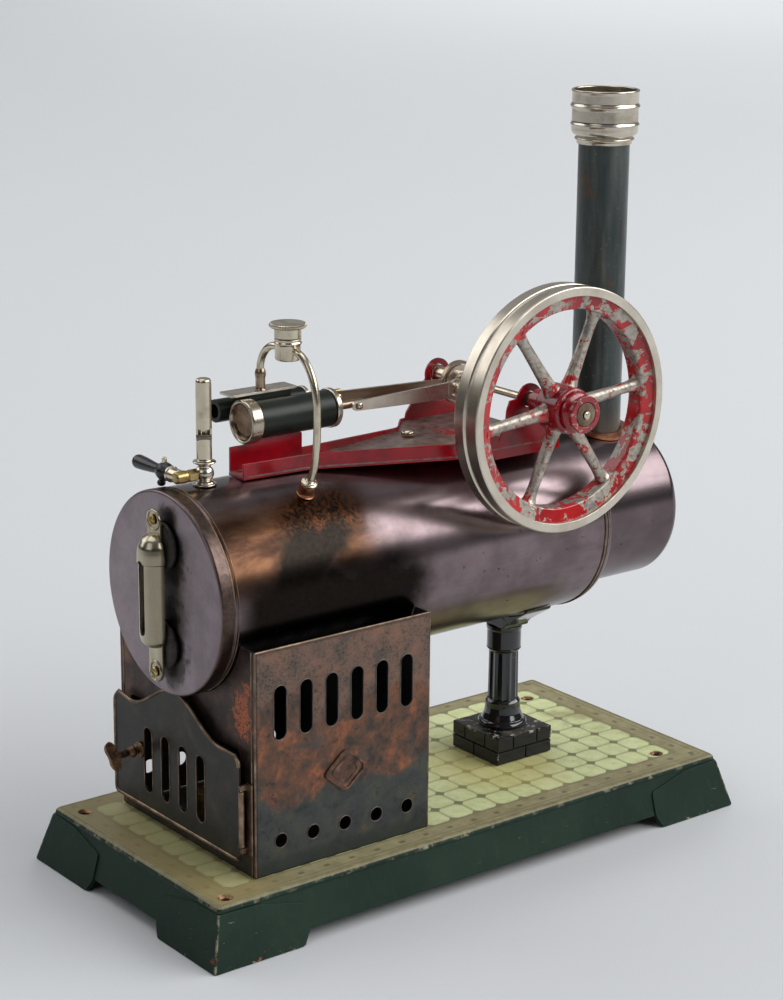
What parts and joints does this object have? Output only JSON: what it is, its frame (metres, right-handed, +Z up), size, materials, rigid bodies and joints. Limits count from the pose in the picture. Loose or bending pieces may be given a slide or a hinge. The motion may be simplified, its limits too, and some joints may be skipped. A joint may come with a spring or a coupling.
{
  "type": "model steam engine",
  "caption": "Toy steam engine: boiler on a slotted firebox and a column, with cylinder, crankshaft, spoked flywheel, whistle, water gauge and tall chimney, on a footed base.",
  "frame": {"origin": "on the floor under the middle of the base", "axes": "+X along the boiler from the firebox to the chimney, -Y towards the flywheel, +Z up"},
  "size_m": [0.2542, 0.124, 0.2865],
  "materials": {
    "green_enamel": "worn dark green enamel sides, printed pale green tiled top",
    "copper_patina": "mottled copper brown heat-blued sheet",
    "dark_bronze": "dark grey green bronzed sheet",
    "blued_steel": "polished blued steel with copper patches",
    "chimney_steel": "dull blue grey steel",
    "nickel": "aged nickel plate",
    "black_enamel": "gloss black enamel with chips",
    "red_enamel": "gloss red enamel, worn",
    "flywheel_iron": "polished rim, worn red web and spokes",
    "dark_green_enamel": "dark green black enamel",
    "brass": "tarnished brass",
    "copper": "dull copper",
    "gasket": "blackened metal disc",
    "glass": "clear glass tube"
  },
  "bodies": {
    "engine_frame": {"base_plate": "green_enamel", "firebox_shell": "copper_patina", "side_emblem": "copper_patina", "door_hinge_pin": "nickel", "door_hinge_bracket": "dark_bronze", "burner_tank": "brass", "boiler_shell": "blued_steel", "boiler_front_cap": "blued_steel", "boiler_rear_cap": "blued_steel", "smokebox_drum": "blued_steel", "chimney_tube": "chimney_steel", "chimney_flange": "copper", "chimney_cap": "nickel", "column_plinth": "black_enamel", "column_shaft": "black_enamel", "column_saddle": "black_enamel", "engine_bed": "red_enamel", "bed_screw": "nickel", "far_bearing_bush": "nickel", "near_bearing_bush": "dark_bronze", "cylinder_barrel": "dark_green_enamel", "cylinder_rear_cover": "nickel", "cylinder_front_cover": "nickel", "valve_chest": "dark_green_enamel", "chest_cover_plate": "nickel", "valve_gland": "nickel", "whistle_base": "nickel", "whistle_tube": "nickel", "whistle_valve_body": "brass", "gauge_frame": "nickel", "gauge_glass": "glass", "gauge_lower_boss": "gasket", "gauge_upper_boss": "gasket", "gauge_screw_bottom": "nickel", "gauge_screw_top": "nickel", "steam_stub": "copper", "pipe_union_nut": "nickel", "steam_pipe_boiler": "nickel", "steam_pipe_chest": "nickel", "pipe_sleeve": "nickel", "lubricator_pot": "nickel"},
    "firebox_door": {"firebox_door": "dark_bronze", "door_knob_washer": "dark_bronze"},
    "door_knob": {"door_knob": "dark_bronze"},
    "crankshaft": {"crankshaft": "nickel", "eccentric_sheave": "nickel", "flywheel": "flywheel_iron", "drive_pulley": "red_enamel"},
    "connecting_rod": {"connecting_rod": "nickel", "crosshead_pin": "nickel"},
    "eccentric_strap": {"eccentric_strap": "brass", "valve_rod_pin": "nickel"},
    "piston": {"piston": "brass", "piston_rod": "brass"},
    "slide_valve": {"valve_spool": "brass"},
    "whistle_valve": {"whistle_valve_handle": "black_enamel", "valve_cross_pin": "nickel"},
    "lubricator_cap": {"lubricator_cap": "nickel"}
  },
  "joints": [
    {"name": "crank_spin", "type": "hinge", "parent": "engine_frame", "child": "crankshaft", "pos_m": [0.0429, 0, 0.1751], "axis": [0, 1, 0], "continuous": true},
    {"name": "con_rod_pivot", "type": "hinge", "parent": "crankshaft", "child": "connecting_rod", "pos_m": [0.0309, 0.0032, 0.1751], "axis": [0, 1, 0], "continuous": true},
    {"name": "eccentric_pivot", "type": "hinge", "parent": "crankshaft", "child": "eccentric_strap", "pos_m": [0.04353, 0.0173, 0.17374], "axis": [0, 1, 0], "continuous": true},
    {"name": "piston_slide", "type": "slide", "parent": "engine_frame", "child": "piston", "axis": [1, 0, 0], "range_m": [0, 0.024]},
    {"name": "valve_slide", "type": "slide", "parent": "engine_frame", "child": "slide_valve", "axis": [1, 0, 0], "range_m": [-0.00213, 0.00087]},
    {"name": "door_hinge", "type": "hinge", "parent": "engine_frame", "child": "firebox_door", "pos_m": [-0.10055, -0.0402, 0.0442], "axis": [0, 0, 1], "range_deg": [0, 110]},
    {"name": "door_knob_turn", "type": "hinge", "parent": "firebox_door", "child": "door_knob", "pos_m": [-0.10055, 0.0259, 0.05], "axis": [1, 0, 0], "range_deg": [-45, 45]},
    {"name": "whistle_valve_turn", "type": "hinge", "parent": "engine_frame", "child": "whistle_valve", "pos_m": [-0.098, 0.0064, 0.1608], "axis": [0, 1, 0], "range_deg": [0, 90]},
    {"name": "lubricator_cap_lift", "type": "slide", "parent": "engine_frame", "child": "lubricator_cap", "axis": [0, 0, 1], "range_m": [0, 0.012]}
  ],
  "couplings": [
    {"joint": "con_rod_pivot", "follows": "crank_spin", "ratio": -1},
    {"joint": "eccentric_pivot", "follows": "crank_spin", "ratio": -1}
  ]
}
